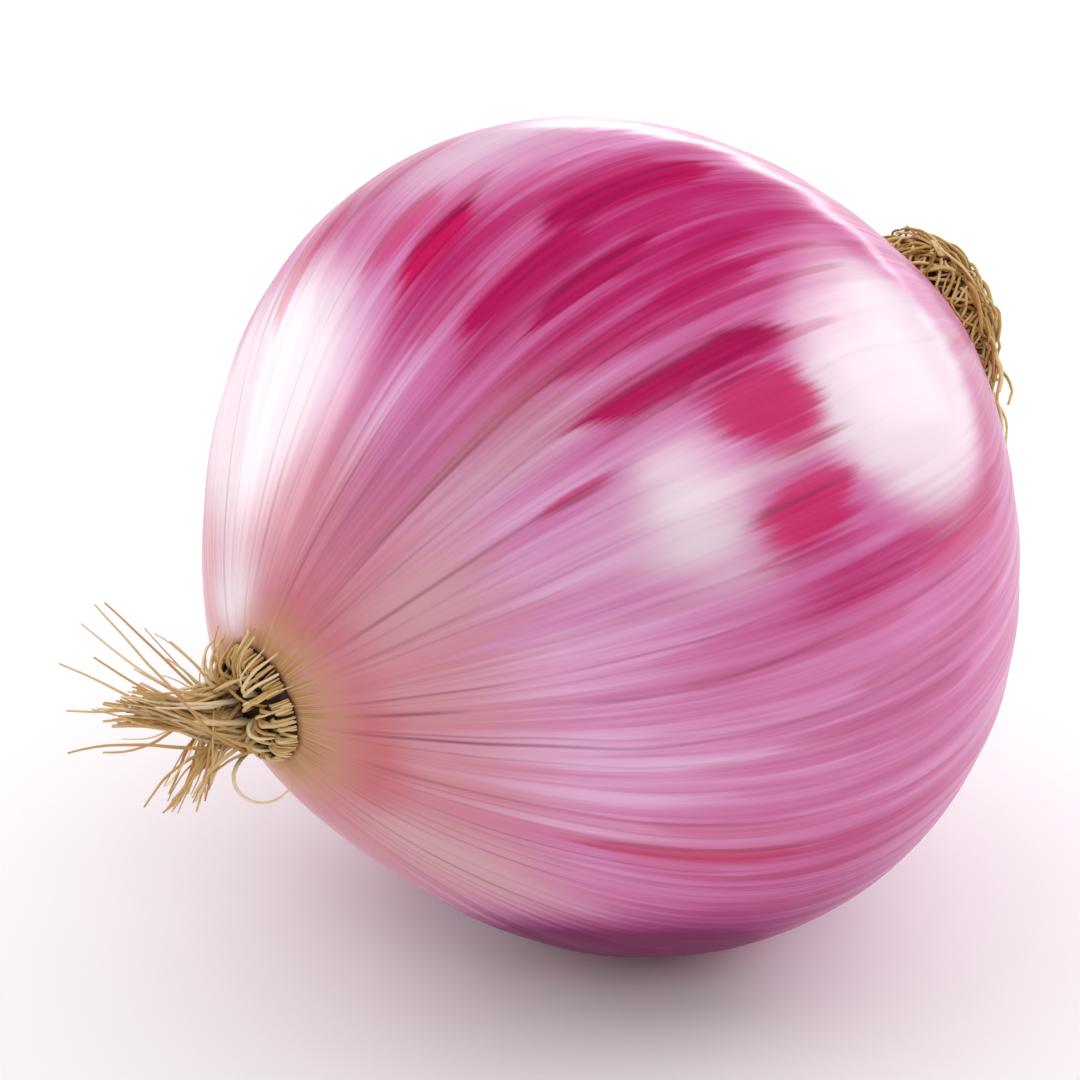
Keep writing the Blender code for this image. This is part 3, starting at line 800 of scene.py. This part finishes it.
def spreadTip(rng, tips):
    middle, spread = tips
    return [m + s * rng.uniform(-1, 1) for m, s in zip(middle, spread)]


def plateFibre(rng, index):
    # a stub of an old root that lies on the plate and ends at its rim
    turn = index * goldenAngle + rng.uniform(-0.1, 0.1)
    start = rng.uniform(0.60, 0.90)
    rise = rng.uniform(0.0009, 0.0022)
    end = rng.uniform(0.98, 1.06)
    points = []
    for share, out in ((start, 0.0012), (0.5 * (start + 1), rise), (0.95, rise * 0.8), (end, 0.0002)):
        reach = share * rootSeat["radius"]
        points.append(seatPlace(rootSeat, out, reach * math.cos(turn), reach * math.sin(turn)))
    return points


def packedRootCurves():
    rng = np.random.default_rng(roots["seed"])
    curves = [(fanRoot(rng, i), roots["thickness"]) for i in range(roots["fan"])]
    curves += [(loopRoot(rng, i), roots["thickness"]) for i in range(roots["loops"])]
    for count, tips in ((roots["sheaf"], roots["sheafTips"]), (roots["under"], roots["underTips"])):
        curves += [(reachingRoot(rng, spreadTip(rng, tips), 0.02), roots["thickness"]) for _ in range(count)]
    curves += [(reachingRoot(rng, tip, 0.05), roots["wispThickness"]) for tip in roots["wispTips"]]
    hook = [seatPlace(rootSeat, *(R * value for value in point)) for point in roots["hook"]]
    return curves + [(hook, roots["wispThickness"])]


def moreRootCurves():
    # thinner roots in between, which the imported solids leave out
    rng = np.random.default_rng(roots["moreSeed"])
    curves = []
    for count, low, high in ((roots["moreFan"], 0.00042, 0.00056), (roots["fineFan"], 0.00022, 0.00036)):
        curves += [(fanRoot(rng, i + 0.5, 0.03, 0.5), rng.uniform(low, high)) for i in range(count)]
    curves += [(loopRoot(rng, i), rng.uniform(0.0003, 0.0005)) for i in range(roots["moreLoops"])]
    for count, tips in ((roots["moreSheaf"], roots["sheafTips"]), (roots["moreUnder"], roots["underTips"])):
        for _ in range(count):
            tip = spreadTip(rng, tips)
            curves.append((reachingRoot(rng, tip, 0.03), rng.uniform(0.00030, 0.00056)))
    for _ in range(roots["moreWisps"]):
        tip = np.array(roots["wispTips"][rng.integers(len(roots["wispTips"]))]) * rng.uniform(0.6, 0.95)
        curves.append((reachingRoot(rng, tip, 0.06), rng.uniform(0.00024, 0.00036)))
    return curves


def wobbled(points, rng, amount):
    # dried strands kink a little, more towards the tip
    share = np.linspace(0, 1, len(points))[:, None]
    swing = np.zeros_like(points)
    for waves in (1.3, 2.7, 4.9):
        swing += np.sin(share * waves * 2 * math.pi + rng.uniform(0, 6.3)) * rng.normal(0, 1, 3) / waves
    return points + swing * amount * share**0.7 * (1 - 0.6 * share)


def tube(path, radii, sides):
    ahead = np.gradient(path, axis=0)
    ahead /= np.linalg.norm(ahead, axis=1, keepdims=True) + 1e-12
    side = np.cross(ahead[0], (0.3, 0.5, 0.81))
    rings = []
    for point, way, radius in zip(path, ahead, radii):
        side = side - way * side.dot(way)
        side /= np.linalg.norm(side) + 1e-12
        other = np.cross(way, side)
        turns = 2 * math.pi * np.arange(sides) / sides
        rings.append(point + radius * (np.outer(np.cos(turns), side) + np.outer(np.sin(turns), other)))
    points = np.concatenate(rings + [path[-1:] + ahead[-1] * radii[-1] * 0.8])
    faces = ringFaces(sides, len(path))[:-1]         # a tip takes the place of the last cap
    last, tip = (len(path) - 1) * sides, len(points) - 1
    return points, faces + [(last + c, last + (c + 1) % sides, tip) for c in range(sides)]


class Bundle:
    # collects strands and other surfaces into one mesh, with a tone for each strand and a share along it
    def __init__(self):
        self.points, self.faces, self.tone, self.share, self.count = [], [], [], [], 0

    def add(self, points, faces, tone, share):
        self.points.append(points)
        self.faces += [tuple(v + self.count for v in face) for face in faces]
        self.tone.append(np.full(len(points), tone))
        self.share.append(np.asarray(share, float))
        self.count += len(points)

    def strand(self, path, thickness, sides, tone, tipShare=0.62):
        share = np.linspace(0, 1, len(path))
        radii = thickness / 2 * (1 + (tipShare - 1) * share)
        points, faces = tube(path, radii, sides)
        self.add(points, faces, tone, np.append(np.repeat(share, sides), 1.0))

    def make(self, name, material):
        attributes = {"tone": np.concatenate(self.tone), "share": np.concatenate(self.share)}
        return newMesh(name, lay(np.concatenate(self.points)), self.faces, material, attributes)


rootLooks = {
    # dark: painted shade in the gaps at the strands' feet
    "dark": srgb(46, 22, 6),
    "deep": srgb(192, 146, 86),
    "straw": srgb(224, 192, 132),
    "cream": srgb(246, 226, 190),
}
neckLooks = {
    # dark: painted shade in the gaps at the fibres' feet
    "dark": srgb(74, 40, 8),
    "deep": srgb(150, 102, 40),
    "straw": srgb(208, 170, 102),
    "cream": srgb(238, 214, 162),
}


def makeStrandMaterial(name, looks, plate):
    # dry plant fibre: straw along its length, each strand with its own tone, and painted shade where it
    # leaves the plate, in the gaps between strands
    made, tree, shader = newMaterial(name, IOR=1.45)
    tone, share = attribute(tree, "tone"), attribute(tree, "share")
    place = node(tree, "ShaderNodeTexCoord").outputs["Object"]
    streaky = effect(tree, mottle, Place=place, Size=0.0011, Contrast=1.8)
    spots = effect(tree, mottle, Place=place, Size=0.0004, Contrast=1.6)
    mid, high = smooth(tree, tone, 0.0, 0.6), smooth(tree, tone, 0.5, 1.0)
    colour = blendColour(tree, mid, looks["deep"], looks["straw"])
    colour = blendColour(tree, high, colour, looks["cream"])
    colour = tinted(tree, colour, streaky, 0.3, looks["deep"])
    gapShade = calc(tree, "SUBTRACT", 1.0, smooth(tree, share, 0.02, plate))
    colour = blendColour(tree, gapShade, colour, looks["dark"])
    rough = calc(tree, "MULTIPLY_ADD", spots, 0.25, 0.42)
    bump = node(tree, "ShaderNodeBump", Strength=0.4, Distance=0.00006, Height=spots)
    fill(tree, shader, Base_Color=colour, Roughness=rough, Normal=bump.outputs["Normal"])
    arrange(tree)
    return made


def seatRing(seat, out, radius, count, fold=0.0, shift=0.0):
    turns = 2 * math.pi * np.arange(count) / count
    reach = radius * (1 + fold * np.cos(neck["folds"] * turns))
    return (seat["mouth"] + seat["out"] * out
            + np.outer(reach * np.cos(turns) + shift, seat["sweep"])
            + np.outer(reach * np.sin(turns), seat["across"]))


def makeRoots():
    bundle = Bundle()
    rng = np.random.default_rng(roots["seed"] + 1)
    radius, count = rootSeat["radius"] - bulb["seatGap"], roots["plateSides"]
    rings = []
    for out, width, _ in roots["plateRings"]:
        ring = seatRing(rootSeat, out, radius * width, count)
        rings.append(ring + rootSeat["out"] * rng.uniform(-0.0001, 0.0001, (count, 1)))
    # painted shade on a brown plate, darkest in the middle under the roots
    shade = np.repeat([ring[2] for ring in roots["plateRings"]], count)
    bundle.add(np.concatenate(rings), ringFaces(count, len(rings)), 0.25, shade)
    for i in range(roots["plateFibres"]):
        path = bezier(plateFibre(rng, i), 8)
        bundle.strand(path, rng.uniform(0.00022, 0.00052), roots["sides"], rng.uniform(0.0, 0.7), 0.5)
    for controls, thickness in packedRootCurves():
        path = raised(bezier(controls, roots["steps"]), rootSeat, roots["fineClearance"])
        path = wobbled(path, rng, 0.00012)
        bundle.strand(path, thickness * 0.76, roots["sides"], rng.uniform(0.2, 0.95), 0.4)
    for controls, thickness in moreRootCurves():
        path = wobbled(bezier(controls, roots["steps"]), rng, 0.00018)
        path = raised(path, rootSeat, roots["fineClearance"])
        bundle.strand(path, thickness, roots["sides"], rng.uniform(0.0, 1.0), 0.35)
    made = bundle.make("rootMop", makeStrandMaterial("driedRoot", rootLooks, 0.30))
    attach(made, "root")
    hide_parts("roots")


makeRoots()
print("roots done")


def matPoint(tilt, turn, lift=0.0):
    reach = (neck["matRadius"] + lift) * math.sin(tilt)
    out = neck["matBase"] + (neck["matHeight"] + lift) * math.cos(tilt)
    return seatPlace(neckSeat, out, reach * math.cos(turn) + neck["shift"], reach * math.sin(turn))


def neckFibre(rng, index, count):
    turn = index * goldenAngle
    tilt = math.radians(8 + 68 * (index / count) ** 0.75)
    swing = rng.choice((-1, 1)) * rng.uniform(0.5, 1.25)
    lift = R * rng.uniform(-0.020, 0.016)
    inside = neckSeat["radius"] * 0.5 * math.sin(tilt)
    sweep, across = neck["shift"] * 0.5 + inside * math.cos(turn), inside * math.sin(turn)
    return [
        seatPlace(neckSeat, neck["stubHeight"] * 0.5, sweep, across),
        matPoint(tilt, turn, lift + R * 0.05),
        matPoint(tilt + rng.uniform(-0.1, 0.35), turn + swing * 0.6, lift + R * 0.03),
        matPoint(tilt + rng.uniform(-0.05, 0.40), turn + swing, lift),
    ]


def skirtFibre(rng, index):
    # a fibre from the mat's edge down onto the skin
    turn = index * goldenAngle
    tilt = math.radians(rng.uniform(40, 72))
    swing = rng.choice((-1, 1)) * rng.uniform(0.2, 0.8)
    reach = neck["matRadius"] * rng.uniform(0.86, 1.04)

    def onSkin(out, share, twist):
        far, way = reach * share, turn + twist
        return seatPlace(neckSeat, out, far * math.cos(way) + neck["shift"], far * math.sin(way))

    return [
        matPoint(tilt, turn, -R * rng.uniform(0.0, 0.03)),
        matPoint(tilt + 0.3, turn + swing * 0.3, R * 0.01),
        onSkin(R * 0.03, 1.0, swing * 0.6),
        onSkin(-R * 0.06, rng.uniform(0.8, 1.0), swing),
    ]


def tailFibre(rng):
    # a loose fibre that trails from the mat down over the bulb
    turn = neck["tailTurn"] + rng.uniform(-0.5, 0.5)
    reach = R * rng.uniform(*neck["tailReach"])
    swing = rng.uniform(-0.25, 0.25)

    def beside(out, share, twist):
        distance = reach * share
        return seatPlace(neckSeat, out, distance * math.cos(turn + twist), distance * math.sin(turn + twist))

    return [
        beside(neck["stubHeight"] * 0.5, 0.15, 0.0),
        beside(R * 0.10, 0.45, swing),
        beside(0.0, 0.85, swing),
        beside(-R * 0.08, 1.0, 0.0),
    ]


def makeNeck():
    bundle = Bundle()
    rng = np.random.default_rng(neck["seed"] + 1)
    radius, count = neckSeat["radius"] - bulb["seatGap"], neck["stubSides"]
    rings = [seatRing(neckSeat, -bulb["plugDepth"], radius * bulb["seatTaper"], count)]
    for height in np.linspace(0, 1, 9):
        width = 0.98 - 0.22 * height + (neck["flare"] - 0.76) * height**2
        fold = neck["foldDepth"] * min(1.0, height * 2)
        rings.append(seatRing(neckSeat, neck["stubHeight"] * height, radius * width, count, fold,
                              neck["shift"] * height**2))
    rings.append(seatRing(neckSeat, neck["stubHeight"] * 0.92, radius * 0.55, count, 0.0, neck["shift"]))
    rings = [ring + rng.uniform(-0.00006, 0.00006, (count, 3)) for ring in rings]
    heights = np.repeat(np.linspace(0, 1, len(rings)), count)
    # the stub darkens toward its foot: painted shade under the fibre mat
    bundle.add(np.concatenate(rings), ringFaces(count, len(rings)), 0.15, 0.12 + 0.2 * heights)
    packed = np.random.default_rng(neck["seed"])
    curves = [neckFibre(packed, i, neck["fibres"]) for i in range(neck["fibres"])]
    curves += [tailFibre(packed) for _ in range(neck["tails"])]
    for controls in curves:
        path = raised(bezier(controls, neck["steps"]), neckSeat, roots["fineClearance"])
        path = wobbled(path, rng, 0.0001)
        bundle.strand(path, neck["thickness"] * 0.9, neck["sides"], rng.uniform(0.2, 1.0))
    more = np.random.default_rng(neck["moreSeed"])
    curves = [neckFibre(more, i, neck["moreFibres"]) for i in range(neck["moreFibres"])]
    curves += [skirtFibre(more, i) for i in range(neck["skirt"])]
    curves += [tailFibre(more) for _ in range(neck["moreTails"])]
    for controls in curves:
        path = raised(wobbled(bezier(controls, neck["steps"]), rng, 0.0003), neckSeat, roots["fineClearance"])
        thickness = neck["fineThickness"] * rng.uniform(0.8, 1.3)
        bundle.strand(path, thickness, neck["sides"], rng.uniform(0.0, 1.0))
    made = bundle.make("neckTuft", makeStrandMaterial("driedNeck", neckLooks, 0.35))
    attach(made, "root")
    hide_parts("neck")


makeNeck()
print("neck done")

# Floor, light and camera
studio = {
    "floorColour": srgb(248, 248, 248),
    "ambient": 0.55,                   # the world's light on matt surfaces
    "reflected": 0.08,                 # what glossy surfaces see of it
    "azimuth": math.radians(-38.9), "elevation": math.radians(28.4),
    "lens": 180, "sensor": 36,
    "distance": 0.4706,
    "offRight": 72,                    # pixels that the bulb's centre lies right of the frame's middle
    "frame": 1080,
}


def cameraAxes():
    a, e = studio["azimuth"], studio["elevation"]
    back = Vector((math.sin(a) * math.cos(e), -math.cos(a) * math.cos(e), math.sin(e)))
    right = Vector((math.cos(a), math.sin(a), 0))
    return right, back.cross(right), back


def seenFrom(way):
    # a direction given as right, up and toward the camera, in the scene's axes
    right, up, back = cameraAxes()
    return (right * way[0] + up * way[1] + back * way[2]).normalized()


def makeCamera():
    right, up, back = cameraAxes()
    data = bpy.data.cameras.new("camera")
    data.lens, data.sensor_width = studio["lens"], studio["sensor"]
    data.clip_start = 0.01
    camera = bpy.data.objects.new("camera", data)
    bpy.context.scene.collection.objects.link(camera)
    perPixel = studio["distance"] * studio["sensor"] / studio["lens"] / studio["frame"]
    camera.location = bulbCentre + back * studio["distance"] - right * (studio["offRight"] * perPixel)
    camera.rotation_euler = back.to_track_quat("Z", "Y").to_euler()
    bpy.context.scene.camera = camera


def makeFloor():
    bpy.ops.mesh.primitive_plane_add(size=6, location=(0, 0, -0.00005))
    floor = bpy.context.object
    floor.name = "floor"
    colour = studio["floorColour"]
    made, _, _ = newMaterial("paleFloor", Base_Color=colour, Roughness=0.9, Specular_IOR_Level=0.1)
    floor.data.materials.append(made)


def makeWorld():
    # white to the camera, softer on matt surfaces and dim in reflections, so that the skin keeps its colour
    world = bpy.data.worlds.new("studio")
    bpy.context.scene.world = world
    world.use_nodes = True
    tree = world.node_tree
    tree.nodes.clear()
    output = node(tree, "ShaderNodeOutputWorld")
    path = node(tree, "ShaderNodeLightPath").outputs
    under = node(tree, "ShaderNodeBackground", Color=(1, 1, 1), Strength=studio["ambient"]).outputs[0]
    for strength, ray in ((studio["reflected"], "Is Glossy Ray"), (1.0, "Is Camera Ray")):
        over = node(tree, "ShaderNodeBackground", Color=(1, 1, 1), Strength=strength).outputs[0]
        under = inTurn(tree, node(tree, "ShaderNodeMixShader"), path[ray], under, over)
    feed(tree, under, output.inputs["Surface"])
    arrange(tree)


# Softboxes: where each one stands from the bulb and which way its width runs, both as right, up and
# toward the camera, then its distance, width and height in metres, its radiance, and whether it shines
softboxes = {
    "leftBox": ((-0.868, 0.370, -0.330), (-0.30, 0.06, 0.95), 0.55, (0.42, 0.18), 2.0, True),
    "leftGlow": ((-0.868, 0.370, -0.330), (-0.30, 0.06, 0.95), 0.57, (0.62, 0.32), 1.2, True),
    "rightBox": ((0.814, 0.549, -0.191), (-0.361, -0.319, -1.08), 0.62, (0.44, 0.28), 1.5, True),
    "rightGlow": ((0.814, 0.549, -0.191), (-0.361, -0.319, -1.08), 0.64, (0.74, 0.50), 0.7, True),
    "rimBox": ((0.22, 0.37, -0.90), (0.9, -0.3, 0.0), 0.80, (0.48, 0.26), 6.0, True),
    "frontBox": ((0.27, 0.23, 0.93), (1.0, 0.1, -0.2), 0.90, (0.46, 0.24), 2.2, True),
    "skyBox": ((0.0, 0.879, 0.476), (1.0, 0.0, 0.0), 1.10, (1.50, 1.50), 1.0, False),
}


def makeSoftbox(name, way, widthWay, distance, size, radiance, shines):
    outward = seenFrom(way)
    widthwise = seenFrom(widthWay)
    widthwise = (widthwise - outward * widthwise.dot(outward)).normalized()
    data = bpy.data.lights.new(name, "AREA")
    data.shape = "RECTANGLE"
    data.size, data.size_y = size
    data.energy = radiance * math.pi * size[0] * size[1]
    light = bpy.data.objects.new(name, data)
    bpy.context.scene.collection.objects.link(light)
    axes = Matrix((widthwise, outward.cross(widthwise), outward)).transposed()
    light.matrix_world = Matrix.Translation(bulbCentre + outward * distance) @ axes.to_4x4()
    light.visible_camera = False
    light.visible_glossy = shines


makeCamera()
makeFloor()
makeWorld()
for boxName, boxSpec in softboxes.items():
    makeSoftbox(boxName, *boxSpec)
bpy.context.scene.view_settings.view_transform = "Standard"
bpy.context.scene.view_settings.look = "None"
print("studio done")
